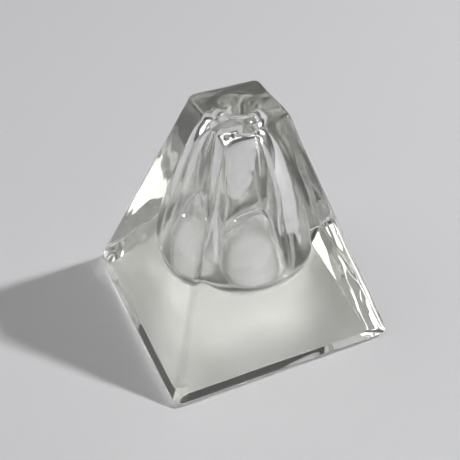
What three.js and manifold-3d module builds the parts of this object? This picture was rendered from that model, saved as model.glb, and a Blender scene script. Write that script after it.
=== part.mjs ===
// A small bud vase in one piece of thick clear glass. The outside is a square pyramid with a flat
// top. Its underside is flat in the middle and has a shallow bevel all round. Inside is an egg-shaped
// hollow on the vertical axis, which opens through a short round neck and a flared mouth in the top.
// Millimetres, +Z up. The origin is the middle of the underside.

import * as THREE from 'three';
import { mergeVertices } from 'three/addons/utils/BufferGeometryUtils.js';
import Module from 'manifold-3d';

// Outer block
const BASE_SIDE = 84;
const TOP_SIDE = 25.3;
const HEIGHT = 86;
const BEVEL_HEIGHT = 2;
const BEVEL_WIDTH = 7.2;
const TOP_EDGE_RADIUS = 2.7;
const BASE_CORNER_RADIUS = 3.2;
const TOP_CORNER_RADIUS = 2.9;
const UNDERSIDE_CORNER_RADIUS = 1;

// Hollow, neck and mouth
const HOLLOW_FLOOR = 17;
const BELLY_HEIGHT = 28.5;
const BELLY_RADIUS = 22.5;
const NECK_FOOT_HEIGHT = 78;
const NECK_RADIUS = 4.5;
const LIP_RADIUS = 3.1;

// Upper side of the hollow: how its curve leaves the belly and how it arrives at the neck
const BELLY_PULL = 6;
const SHOULDER_LEAN = 11;
const SHOULDER_DROP = 4;

// Facets
const CORNER_STEPS = 8;
const EDGE_STEPS = 6;
const HOLLOW_STEPS = 14;
const LIP_STEPS = 6;
const AROUND_STEPS = 64;

const GLASS_COLOUR = 0xdde4dc;
const GLASS_ROUGHNESS = 0.03;
const GLASS_OPACITY = 0.35;

// The four slanted faces, as half widths at a height
const faceRise = HEIGHT - BEVEL_HEIGHT;
const faceRun = (BASE_SIDE - TOP_SIDE) / 2;
const faceTilt = Math.atan2(faceRun, faceRise);

function faceHalfWidth(z) {
  return BASE_SIDE / 2 - faceRun * (z - BEVEL_HEIGHT) / faceRise;
}

function cornerRadius(z) {
  return THREE.MathUtils.lerp(BASE_CORNER_RADIUS, TOP_CORNER_RADIUS, z / HEIGHT);
}

// One level outline of the block: a square with rounded corners, counterclockwise from above
function roundedSquare(halfWidth, radius, z) {
  const ring = [];
  const inner = halfWidth - radius;
  for (let corner = 0; corner < 4; corner += 1) {
    const facing = Math.PI / 4 + corner * Math.PI / 2;
    const centreX = inner * Math.sign(Math.cos(facing));
    const centreY = inner * Math.sign(Math.sin(facing));
    for (let step = 0; step <= CORNER_STEPS; step += 1) {
      const angle = facing - Math.PI / 4 + step * Math.PI / 2 / CORNER_STEPS;
      const x = centreX + radius * Math.cos(angle);
      const y = centreY + radius * Math.sin(angle);
      ring.push(new THREE.Vector3(x, y, z));
    }
  }
  return ring;
}

// The outlines of the block from the underside to the top
function blockRings() {
  const rings = [];
  rings.push(roundedSquare(BASE_SIDE / 2 - BEVEL_WIDTH, UNDERSIDE_CORNER_RADIUS, 0));
  rings.push(roundedSquare(BASE_SIDE / 2, BASE_CORNER_RADIUS, BEVEL_HEIGHT));
  const arcHeight = HEIGHT - TOP_EDGE_RADIUS;
  const arcStartZ = arcHeight + TOP_EDGE_RADIUS * Math.sin(faceTilt);
  const arcHalfWidth = faceHalfWidth(arcStartZ) - TOP_EDGE_RADIUS * Math.cos(faceTilt);
  for (let step = 0; step <= EDGE_STEPS; step += 1) {
    const angle = THREE.MathUtils.lerp(faceTilt, Math.PI / 2, step / EDGE_STEPS);
    const z = arcHeight + TOP_EDGE_RADIUS * Math.sin(angle);
    const halfWidth = arcHalfWidth + TOP_EDGE_RADIUS * Math.cos(angle);
    const inset = faceHalfWidth(arcStartZ) - halfWidth;
    rings.push(roundedSquare(halfWidth, cornerRadius(arcStartZ) - inset, z));
  }
  return rings;
}

// A closed skin over a stack of outlines that all have the same number of points
function loft(rings) {
  const count = rings[0].length;
  const positions = [];
  const indices = [];
  for (const ring of rings) {
    for (const point of ring) positions.push(point.x, point.y, point.z);
  }
  for (let level = 0; level + 1 < rings.length; level += 1) {
    for (let i = 0; i < count; i += 1) {
      const next = (i + 1) % count;
      const low = level * count;
      const high = low + count;
      indices.push(low + i, low + next, high + next);
      indices.push(low + i, high + next, high + i);
    }
  }
  const lastRing = (rings.length - 1) * count;
  for (let i = 1; i + 1 < count; i += 1) {
    indices.push(0, i + 1, i);
    indices.push(lastRing, lastRing + i, lastRing + i + 1);
  }
  const geometry = new THREE.BufferGeometry();
  geometry.setAttribute('position', new THREE.Float32BufferAttribute(positions, 3));
  geometry.setIndex(indices);
  return geometry;
}

// The hollow turned about the vertical axis, from its floor up past the mouth
function hollowGeometry() {
  const path = new THREE.Path();
  path.moveTo(0, HOLLOW_FLOOR);
  path.absellipse(0, BELLY_HEIGHT, BELLY_RADIUS, BELLY_HEIGHT - HOLLOW_FLOOR, -Math.PI / 2, 0, false, 0);
  path.bezierCurveTo(
    BELLY_RADIUS, BELLY_HEIGHT + BELLY_PULL,
    NECK_RADIUS + SHOULDER_LEAN, NECK_FOOT_HEIGHT - SHOULDER_DROP,
    NECK_RADIUS, NECK_FOOT_HEIGHT,
  );
  const points = path.getPoints(HOLLOW_STEPS);
  for (let step = 0; step <= LIP_STEPS; step += 1) {
    const angle = step * Math.PI / 2 / LIP_STEPS;
    const radius = NECK_RADIUS + LIP_RADIUS * (1 - Math.cos(angle));
    points.push(new THREE.Vector2(radius, HEIGHT - LIP_RADIUS + LIP_RADIUS * Math.sin(angle)));
  }
  const clearOfTop = HEIGHT + LIP_RADIUS;
  points.push(new THREE.Vector2(NECK_RADIUS + LIP_RADIUS, clearOfTop));
  points.push(new THREE.Vector2(0, clearOfTop));
  const geometry = new THREE.LatheGeometry(points, AROUND_STEPS);
  geometry.rotateX(Math.PI / 2);
  return geometry;
}

const wasm = await Module();
wasm.setup();

function toSolid(geometry) {
  geometry.deleteAttribute('normal');
  geometry.deleteAttribute('uv');
  const merged = mergeVertices(geometry);
  const corners = merged.index.array;
  const triangles = [];
  for (let i = 0; i < corners.length; i += 3) {
    const [a, b, c] = corners.slice(i, i + 3);
    if (a !== b && b !== c && c !== a) triangles.push(a, b, c);
  }
  const vertProperties = new Float32Array(merged.attributes.position.array);
  const triVerts = new Uint32Array(triangles);
  return new wasm.Manifold(new wasm.Mesh({ numProp: 3, vertProperties, triVerts }));
}

function toGeometry(solid) {
  const mesh = solid.getMesh();
  const geometry = new THREE.BufferGeometry();
  geometry.setAttribute('position', new THREE.BufferAttribute(mesh.vertProperties, 3));
  geometry.setIndex(new THREE.BufferAttribute(mesh.triVerts, 1));
  geometry.computeVertexNormals();
  return geometry;
}

function glassBody() {
  const block = toSolid(loft(blockRings()));
  const hollow = toSolid(hollowGeometry());
  const material = new THREE.MeshStandardMaterial({
    color: GLASS_COLOUR,
    roughness: GLASS_ROUGHNESS,
    metalness: 0,
    transparent: true,
    opacity: GLASS_OPACITY,
  });
  const body = new THREE.Mesh(toGeometry(block.subtract(hollow)), material);
  body.name = 'glass_body';
  return body;
}

const vase = new THREE.Group();
vase.add(glassBody());

export default vase;
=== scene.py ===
"""A thick clear glass bud vase: a flat-topped square pyramid with an egg-shaped hollow."""
import math

import bpy
import numpy as np
from mathutils import Matrix, Vector, noise


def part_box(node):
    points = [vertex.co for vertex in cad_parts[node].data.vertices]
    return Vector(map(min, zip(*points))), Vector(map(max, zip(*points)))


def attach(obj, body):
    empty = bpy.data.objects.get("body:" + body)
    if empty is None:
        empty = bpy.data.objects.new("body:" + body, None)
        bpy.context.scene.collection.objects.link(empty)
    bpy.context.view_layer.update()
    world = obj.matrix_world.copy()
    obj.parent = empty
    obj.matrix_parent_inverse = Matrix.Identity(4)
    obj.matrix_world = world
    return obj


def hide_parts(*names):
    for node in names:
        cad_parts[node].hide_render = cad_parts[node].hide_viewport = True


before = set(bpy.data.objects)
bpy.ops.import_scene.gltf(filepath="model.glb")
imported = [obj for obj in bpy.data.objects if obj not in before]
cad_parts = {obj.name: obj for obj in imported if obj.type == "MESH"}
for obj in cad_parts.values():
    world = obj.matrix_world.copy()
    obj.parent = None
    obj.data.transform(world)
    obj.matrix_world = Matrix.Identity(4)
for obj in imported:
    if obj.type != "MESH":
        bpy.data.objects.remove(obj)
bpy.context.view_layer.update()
low, high = (Vector(corner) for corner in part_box("glass_body"))

MM = 0.001

# Outer block: base side and height are those of the CAD solid
BASE_SIDE = high.x - low.x
HEIGHT = high.z
TOP_SIDE = 25.3 * MM
BEVEL_HEIGHT = 2 * MM
BEVEL_WIDTH = 7.2 * MM
TOP_EDGE_RADIUS = 2.7 * MM
BASE_CORNER_RADIUS = 3.2 * MM
TOP_CORNER_RADIUS = 2.9 * MM
UNDERSIDE_CORNER_RADIUS = 1 * MM
BASE_EDGE_RADIUS = 0.6 * MM

# Hollow, neck and mouth
HOLLOW_FLOOR = 17 * MM
BELLY_HEIGHT = 28.5 * MM
BELLY_RADIUS = 22.5 * MM
NECK_FOOT_HEIGHT = 78 * MM
NECK_RADIUS = 4.5 * MM
LIP_RADIUS = 3.1 * MM
BELLY_PULL = 6 * MM
SHOULDER_LEAN = 11 * MM
SHOULDER_DROP = 4 * MM

# Unevenness of the pressed and polished surfaces: height and size of the waves
FACE_WAVE = 0.27 * MM
FACE_WAVE_SIZE = 14 * MM
HOLLOW_WAVE = 0.2 * MM
HOLLOW_WAVE_SIZE = 11 * MM
HOLLOW_FADE = 10 * MM

# Glass and ground glass
GLASS_INDEX = 1.52
TINT = (0.66, 0.68, 0.50)
DENSITY = 4.0
SMUDGE_ROUGHNESS = 0.015
SMUDGE_SIZE = 9 * MM
SMUDGE_RANGE = (0.45, 0.75)
GROUND_ROUGHNESS = (0.38, 0.52)
GRAIN_SIZE = 0.8 * MM
GRAIN_RANGE = (0.3, 0.7)
GRAIN_DETAIL = 4
UNDERSIDE_TOLERANCE = 0.01 * MM
# Painted shade: grey put on the ground underside towards its rim, from the first radius to the second,
# standing in for the shade around the light gathered under the hollow
RIM_SHADE_COLOUR = (0.25, 0.25, 0.24)
RIM_SHADE_RADII = (20 * MM, 32 * MM)
SEED_SPACING = 14 * MM
SEED_SIZE = 0.7 * MM
BUMP_HEIGHT = 0.05 * MM

# Camera at the photo's viewing angle
CAMERA_AZIMUTH = 24.576
CAMERA_PITCH = 40.1185
CAMERA_ROLL = -0.2235
CAMERA_BACK = 330.683 * MM
CAMERA_RIGHT = -2.734 * MM
CAMERA_UP = 25.074 * MM
CAMERA_LENS = 66.878
CAMERA_SENSOR = 36
CAMERA_CLIP = (0.01, 100)

# Lamps: azimuth from the right of the view, elevation, disc size, power, and the rays that meet them
LAMP_DISTANCE = 2.0
LAMPS = [
    ("key", 4.5, 48.2, 0.12, 25, "diffuse glossy"),
    ("key_inside", 4.5, 48.2, 0.3, 30, "transmission"),
    ("back_left", 75, 40, 1.4, 6, "transmission"),
    ("back_right", 131, 40, 1.4, 7, "transmission"),
    ("fill", 180, 60, 2.0, 7, "diffuse"),
]

# Room: brightness at the horizon, part way up and overhead
SKY = [(0.0, 0.05), (0.25, 0.1), (0.55, 0.4), (0.8, 0.25), (1.0, 0.02)]
# Pale band at the horizon, all round except beyond the vase as the camera sees it
HORIZON = 0.35
HORIZON_HEIGHT = 0.3
BEYOND_RANGE = (0.2, 0.7)
PAPER = (0.70, 0.70, 0.715)
PAPER_ROUGHNESS = 0.7
FLOOR_HALF = 5.0
FLOOR_GAP = 0.2 * MM
SWEEP_RADIUS = 4.0
SWEEP_BEND = 1.5
SWEEP_HEIGHT = 5.0
SWEEP_STEPS = 16
SWEEP_AROUND = 96

LIGHT_BOUNCES = 24

# Mesh density: steps along and round each outline, and from one outline to the next
SIDE_STEPS = 36
CORNER_STEPS = 12
UNDERSIDE_STEPS = 36
UNDERSIDE_START = 0.02
BEVEL_STEPS = 12
BASE_EDGE_STEPS = 5
FACE_STEPS = 90
TOP_EDGE_STEPS = 8
TOP_STEPS = 8
LIP_STEPS = 16
NECK_STEPS = 8
SHOULDER_STEPS = 60
BELLY_STEPS = 40


def steps(start, end, count, first=0):
    return [start + (end - start) * i / count for i in range(first, count + 1)]


def arc(radius, start, end, count, first=0):
    return [(radius * math.cos(a), radius * math.sin(a)) for a in steps(start, end, count, first)]


def math_node(nodes, links, operation, *values):
    node = nodes.new("ShaderNodeMath")
    node.operation = operation
    for socket, value in zip(node.inputs, values):
        if isinstance(value, bpy.types.NodeSocket):
            links.new(value, socket)
        else:
            socket.default_value = value
    return node.outputs[0]


def noise_node(nodes, links, place, size, detail=2):
    """Noise from about 0.3 to 0.7, with features of the given size."""
    node = nodes.new("ShaderNodeTexNoise")
    node.inputs["Scale"].default_value = 1 / size
    node.inputs["Detail"].default_value = detail
    links.new(place, node.inputs["Vector"])
    return node.outputs["Fac"]


def range_node(nodes, links, value, source, target):
    node = nodes.new("ShaderNodeMapRange")
    node.interpolation_type = "SMOOTHSTEP"
    for name, number in zip(("From Min", "From Max", "To Min", "To Max"), (*source, *target)):
        node.inputs[name].default_value = number
    links.new(value, node.inputs["Value"])
    return node.outputs["Result"]


def add_camera():
    data = bpy.data.cameras.new("camera")
    data.lens = CAMERA_LENS
    data.sensor_width = CAMERA_SENSOR
    data.clip_start, data.clip_end = CAMERA_CLIP
    camera = bpy.data.objects.new("camera", data)
    bpy.context.collection.objects.link(camera)
    turn = Matrix.Rotation(math.radians(-CAMERA_AZIMUTH), 4, "Z")
    tilt = Matrix.Rotation(math.radians(90 - CAMERA_PITCH), 4, "X")
    roll = Matrix.Rotation(math.radians(-CAMERA_ROLL), 4, "Z")
    shift = Matrix.Translation((CAMERA_RIGHT, CAMERA_UP, CAMERA_BACK))
    camera.matrix_world = turn @ tilt @ shift @ roll
    bpy.context.scene.camera = camera


FACE_RUN = (BASE_SIDE - TOP_SIDE) / 2
FACE_RISE = HEIGHT - BEVEL_HEIGHT
FACE_TILT = math.atan2(FACE_RUN, FACE_RISE)


def face_half_width(z):
    return BASE_SIDE / 2 - FACE_RUN * (z - BEVEL_HEIGHT) / FACE_RISE


def corner_radius(z):
    return BASE_CORNER_RADIUS + (TOP_CORNER_RADIUS - BASE_CORNER_RADIUS) * z / HEIGHT


def rounded_square(half_width, radius, z):
    """One level outline, counterclockwise from above, starting in the middle of the +X side."""
    inner = half_width - radius
    half_steps = SIDE_STEPS // 2
    points = []
    for side in range(4):
        outline = []
        for i in range(half_steps):
            outline.append((half_width, inner * i / half_steps))
        for x, y in arc(radius, 0, math.pi / 2, CORNER_STEPS):
            outline.append((inner + x, inner + y))
        for i in range(1, half_steps):
            outline.append((inner * (1 - i / half_steps), half_width))
        cos, sin = math.cos(side * math.pi / 2), math.sin(side * math.pi / 2)
        points += [(x * cos - y * sin, x * sin + y * cos, z) for x, y in outline]
    return np.array(points)


RING = len(rounded_square(1.0, 0.1, 0.0))


def circle(radius, z):
    """A level circle with as many points as an outline."""
    square = rounded_square(1.0, 0.3, 0.0)
    angles = np.arctan2(square[:, 1], square[:, 0])
    return np.stack([radius * np.cos(angles), radius * np.sin(angles), np.full(RING, z)], axis=1)


def underside_rings():
    flat = BASE_SIDE / 2 - BEVEL_WIDTH
    rings = []
    for f in steps(UNDERSIDE_START, 1.0, UNDERSIDE_STEPS):
        rings.append(rounded_square(flat * f, UNDERSIDE_CORNER_RADIUS * f, 0.0))
    return rings


def bevel_rings():
    """The shallow bevel and the small round at its upper edge."""
    flat = BASE_SIDE / 2 - BEVEL_WIDTH
    rings = []
    reach = 1 - BASE_EDGE_RADIUS / BEVEL_WIDTH
    for f in steps(0, reach, BEVEL_STEPS, 1):
        radius = UNDERSIDE_CORNER_RADIUS + (BASE_CORNER_RADIUS - UNDERSIDE_CORNER_RADIUS) * f
        rings.append(rounded_square(flat + BEVEL_WIDTH * f, radius, BEVEL_HEIGHT * f))
    for x, z in arc(BASE_EDGE_RADIUS, 0, FACE_TILT, BASE_EDGE_STEPS):
        inset = BASE_EDGE_RADIUS - x
        radius = BASE_CORNER_RADIUS - inset / 2
        rings.append(rounded_square(BASE_SIDE / 2 - inset, radius, BEVEL_HEIGHT + z))
    return rings


def face_rings():
    """The slanted faces and the round into the flat top."""
    start_z = BEVEL_HEIGHT + BASE_EDGE_RADIUS * math.sin(FACE_TILT)
    arc_z = HEIGHT - TOP_EDGE_RADIUS
    end_z = arc_z + TOP_EDGE_RADIUS * math.sin(FACE_TILT)
    rings = []
    for z in steps(start_z, end_z, FACE_STEPS, 1):
        rings.append(rounded_square(face_half_width(z), corner_radius(z), z))
    end_half = face_half_width(end_z)
    arc_half = end_half - TOP_EDGE_RADIUS * math.cos(FACE_TILT)
    for x, z in arc(TOP_EDGE_RADIUS, FACE_TILT, math.pi / 2, TOP_EDGE_STEPS, 1):
        inset = end_half - arc_half - x
        rings.append(rounded_square(arc_half + x, corner_radius(end_z) - inset, arc_z + z))
    return rings


def top_rings(edge):
    """The flat top, from its edge in to the lip of the mouth."""
    lip = circle(NECK_RADIUS + LIP_RADIUS, HEIGHT)
    return [edge + (lip - edge) * f for f in steps(0, 1, TOP_STEPS, 1)]


def neck_rings():
    rings = []
    for x, z in arc(LIP_RADIUS, math.pi / 2, 0, LIP_STEPS, 1):
        rings.append(circle(NECK_RADIUS + LIP_RADIUS - x, HEIGHT - LIP_RADIUS + z))
    for z in steps(HEIGHT - LIP_RADIUS, NECK_FOOT_HEIGHT, NECK_STEPS, 1):
        rings.append(circle(NECK_RADIUS, z))
    return rings


def hollow_rings():
    foot = Vector((NECK_RADIUS, NECK_FOOT_HEIGHT))
    shoulder = foot + Vector((SHOULDER_LEAN, -SHOULDER_DROP))
    belly = Vector((BELLY_RADIUS, BELLY_HEIGHT))
    pull = belly + Vector((0, BELLY_PULL))
    rings = []
    for t in steps(0, 1, SHOULDER_STEPS, 1):
        u = 1 - t
        point = u**3 * foot + 3 * u * u * t * shoulder + 3 * u * t * t * pull + t**3 * belly
        rings.append(circle(point.x, point.y))
    depth = BELLY_HEIGHT - HOLLOW_FLOOR
    for a in steps(0, math.pi / 2, BELLY_STEPS, 1)[:-1]:
        rings.append(circle(BELLY_RADIUS * math.cos(a), BELLY_HEIGHT - depth * math.sin(a)))
    return rings


def loft(name, rings, first_pole, last_pole):
    """A closed skin over the rings, with a fan to a pole at each end."""
    points = np.concatenate(rings + [np.array([first_pole, last_pole])])
    first, last = len(points) - 2, len(points) - 1
    top = (len(rings) - 1) * RING
    faces = []
    for i in range(RING):
        faces.append((first, (i + 1) % RING, i))
    for level in range(len(rings) - 1):
        start, end = level * RING, (level + 1) * RING
        for i in range(RING):
            j = (i + 1) % RING
            faces.append((start + i, start + j, end + j, end + i))
    for i in range(RING):
        faces.append((last, top + i, top + (i + 1) % RING))
    mesh = bpy.data.meshes.new(name)
    mesh.from_pydata(points.tolist(), [], faces)
    mesh.shade_smooth()
    piece = bpy.data.objects.new(name, mesh)
    bpy.context.collection.objects.link(piece)
    return piece


def wave(point, size):
    return noise.fractal(point / size, 1.0, 2.0, 2)


def unevenness(body, block_count, sharp_count):
    """Gentle waves in the slanted faces and in the hollow. The underside and its bevel stay flat."""
    mesh = body.data
    moves = []
    for vertex in mesh.vertices:
        at, normal = vertex.co.copy(), vertex.normal.copy()
        if vertex.index < sharp_count:
            moves.append(Vector())
        elif vertex.index < block_count:
            moves.append(normal * FACE_WAVE * wave(at, FACE_WAVE_SIZE))
        else:
            fade = min(1.0, max(0.0, (HEIGHT - at.z) / HOLLOW_FADE))
            swell = HOLLOW_WAVE * fade * wave(at, HOLLOW_WAVE_SIZE)
            moves.append(normal * swell)
    for vertex, move in zip(mesh.vertices, moves):
        vertex.co += move


def glass_material():
    """Clear polished glass with small seeds. The flat of the underside is ground, and its rim is darkened
    with painted shade.
    """
    material = bpy.data.materials.new("clear_glass")
    material.use_nodes = True
    nodes, links = material.node_tree.nodes, material.node_tree.links
    shader = nodes["Principled BSDF"]
    shader.inputs["IOR"].default_value = GLASS_INDEX
    shader.inputs["Transmission Weight"].default_value = 1.0

    place = nodes.new("ShaderNodeTexCoord").outputs["Object"]
    split = nodes.new("ShaderNodeSeparateXYZ")
    links.new(place, split.inputs[0])
    ground = math_node(nodes, links, "LESS_THAN", split.outputs["Z"], UNDERSIDE_TOLERANCE)

    square_x = math_node(nodes, links, "MULTIPLY", split.outputs["X"], split.outputs["X"])
    square_y = math_node(nodes, links, "MULTIPLY", split.outputs["Y"], split.outputs["Y"])
    across = math_node(nodes, links, "SQRT", math_node(nodes, links, "ADD", square_x, square_y))
    # Painted shade: the underside's colour turns from white to grey towards its rim, standing in for shade
    # rather than wear
    rim_shade = range_node(nodes, links, across, RIM_SHADE_RADII, (0, 1))
    colour = nodes.new("ShaderNodeMix")
    colour.data_type = "RGBA"
    colour.inputs["A"].default_value = (1, 1, 1, 1)
    colour.inputs["B"].default_value = (*RIM_SHADE_COLOUR, 1)
    links.new(math_node(nodes, links, "MULTIPLY", rim_shade, ground), colour.inputs["Factor"])
    links.new(colour.outputs["Result"], shader.inputs["Base Color"])

    grain = noise_node(nodes, links, place, GRAIN_SIZE, GRAIN_DETAIL)
    smudge = noise_node(nodes, links, place, SMUDGE_SIZE)
    roughness = nodes.new("ShaderNodeMix")
    links.new(ground, roughness.inputs["Factor"])
    links.new(range_node(nodes, links, smudge, SMUDGE_RANGE, (0, SMUDGE_ROUGHNESS)), roughness.inputs["A"])
    links.new(range_node(nodes, links, grain, GRAIN_RANGE, GROUND_ROUGHNESS), roughness.inputs["B"])
    links.new(roughness.outputs["Result"], shader.inputs["Roughness"])

    cells = nodes.new("ShaderNodeTexVoronoi")
    cells.inputs["Scale"].default_value = 1 / SEED_SPACING
    links.new(place, cells.inputs["Vector"])
    seed = range_node(nodes, links, cells.outputs["Distance"], (0, SEED_SIZE / SEED_SPACING), (1, 0))
    height = math_node(nodes, links, "ADD", seed, math_node(nodes, links, "MULTIPLY", grain, ground))
    bump = nodes.new("ShaderNodeBump")
    bump.inputs["Strength"].default_value = 1.0
    bump.inputs["Distance"].default_value = BUMP_HEIGHT
    links.new(height, bump.inputs["Height"])
    links.new(bump.outputs["Normal"], shader.inputs["Normal"])

    tint = nodes.new("ShaderNodeVolumeAbsorption")
    tint.inputs["Color"].default_value = (*TINT, 1)
    tint.inputs["Density"].default_value = DENSITY
    links.new(tint.outputs["Volume"], nodes["Material Output"].inputs["Volume"])
    return material


def paper_material():
    material = bpy.data.materials.new("paper")
    material.use_nodes = True
    shader = material.node_tree.nodes["Principled BSDF"]
    shader.inputs["Base Color"].default_value = (*PAPER, 1)
    shader.inputs["Roughness"].default_value = PAPER_ROUGHNESS
    return material


def add_floor():
    mesh = bpy.data.meshes.new("floor")
    corners = [(x * FLOOR_HALF, y * FLOOR_HALF, 0) for x, y in ((-1, -1), (1, -1), (1, 1), (-1, 1))]
    mesh.from_pydata(corners, [], [(0, 1, 2, 3)])
    floor = bpy.data.objects.new("floor", mesh)
    floor.location.z = -FLOOR_GAP
    bpy.context.collection.objects.link(floor)
    mesh.materials.append(paper_material())


def add_sweep():
    """A pale wall round the floor, for the camera only: the room lights the glass as if it weren't there."""
    bend = arc(SWEEP_BEND, -math.pi / 2, 0, SWEEP_STEPS)
    profile = [(SWEEP_RADIUS - SWEEP_BEND + x, SWEEP_BEND + z) for x, z in bend]
    profile.append((SWEEP_RADIUS, SWEEP_HEIGHT))
    turns = steps(0, 2 * math.pi, SWEEP_AROUND)[:-1]
    points = [(x * math.cos(a), x * math.sin(a), z) for x, z in profile for a in turns]
    faces = []
    for level in range(len(profile) - 1):
        for i in range(SWEEP_AROUND):
            a, b = level * SWEEP_AROUND + i, level * SWEEP_AROUND + (i + 1) % SWEEP_AROUND
            faces.append((a, a + SWEEP_AROUND, b + SWEEP_AROUND, b))
    mesh = bpy.data.meshes.new("sweep")
    mesh.from_pydata(points, [], faces)
    mesh.shade_smooth()
    sweep = bpy.data.objects.new("sweep", mesh)
    bpy.context.collection.objects.link(sweep)
    mesh.materials.append(bpy.data.materials["paper"])
    sweep.visible_diffuse = False
    sweep.visible_glossy = False
    sweep.visible_transmission = False
    sweep.visible_shadow = False


def add_world():
    world = bpy.data.worlds.new("studio")
    bpy.context.scene.world = world
    world.use_nodes = True
    nodes, links = world.node_tree.nodes, world.node_tree.links
    place = nodes.new("ShaderNodeTexCoord")
    split = nodes.new("ShaderNodeSeparateXYZ")
    links.new(place.outputs["Generated"], split.inputs[0])
    ramp = nodes.new("ShaderNodeValToRGB")
    links.new(split.outputs["Z"], ramp.inputs["Fac"])
    elements = ramp.color_ramp.elements
    elements[0].position, elements[0].color = SKY[0][0], (*[SKY[0][1]] * 3, 1)
    elements[1].position, elements[1].color = SKY[-1][0], (*[SKY[-1][1]] * 3, 1)
    for position, brightness in SKY[1:-1]:
        elements.new(position).color = (brightness, brightness, brightness, 1)
    beyond = math.radians(90 - CAMERA_AZIMUTH)
    facing = nodes.new("ShaderNodeVectorMath")
    facing.operation = "DOT_PRODUCT"
    facing.inputs[1].default_value = (math.cos(beyond), math.sin(beyond), 0)
    links.new(place.outputs["Generated"], facing.inputs[0])
    around = range_node(nodes, links, facing.outputs["Value"], BEYOND_RANGE, (1, 0))
    low_down = range_node(nodes, links, split.outputs["Z"], (0, HORIZON_HEIGHT), (HORIZON, 0))
    glow = math_node(nodes, links, "MULTIPLY", around, low_down)
    light = math_node(nodes, links, "ADD", ramp.outputs["Color"], glow)
    links.new(light, nodes["Background"].inputs["Color"])


def add_lamp(name, azimuth, elevation, size, power, rays):
    data = bpy.data.lights.new(name, "AREA")
    data.shape = "DISK"
    data.size = size
    data.energy = power
    light = bpy.data.objects.new(name, data)
    bpy.context.collection.objects.link(light)
    a, e = math.radians(azimuth - CAMERA_AZIMUTH), math.radians(elevation)
    away = Vector((math.cos(e) * math.cos(a), math.cos(e) * math.sin(a), math.sin(e)))
    light.location = away * LAMP_DISTANCE
    light.rotation_euler = away.to_track_quat("Z", "Y").to_euler()
    light.visible_camera = False
    light.visible_diffuse = "diffuse" in rays
    light.visible_glossy = "glossy" in rays
    light.visible_transmission = "transmission" in rays


add_camera()
add_floor()
add_sweep()
add_world()
for lamp in LAMPS:
    add_lamp(*lamp)

ground = underside_rings()
sharp = ground + bevel_rings()
block = sharp + face_rings()
block += top_rings(block[-1])
body = loft("vase_glass", block + neck_rings() + hollow_rings(), (0, 0, 0), (0, 0, HOLLOW_FLOOR))
unevenness(body, len(block) * RING, len(sharp) * RING)
body.data.materials.append(glass_material())
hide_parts("glass_body")
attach(body, "root")

cycles = bpy.context.scene.cycles
cycles.max_bounces = LIGHT_BOUNCES
cycles.transmission_bounces = LIGHT_BOUNCES
cycles.glossy_bounces = LIGHT_BOUNCES
cycles.sample_clamp_indirect = 0
cycles.blur_glossy = 0.3
bpy.context.scene.view_settings.view_transform = "Standard"
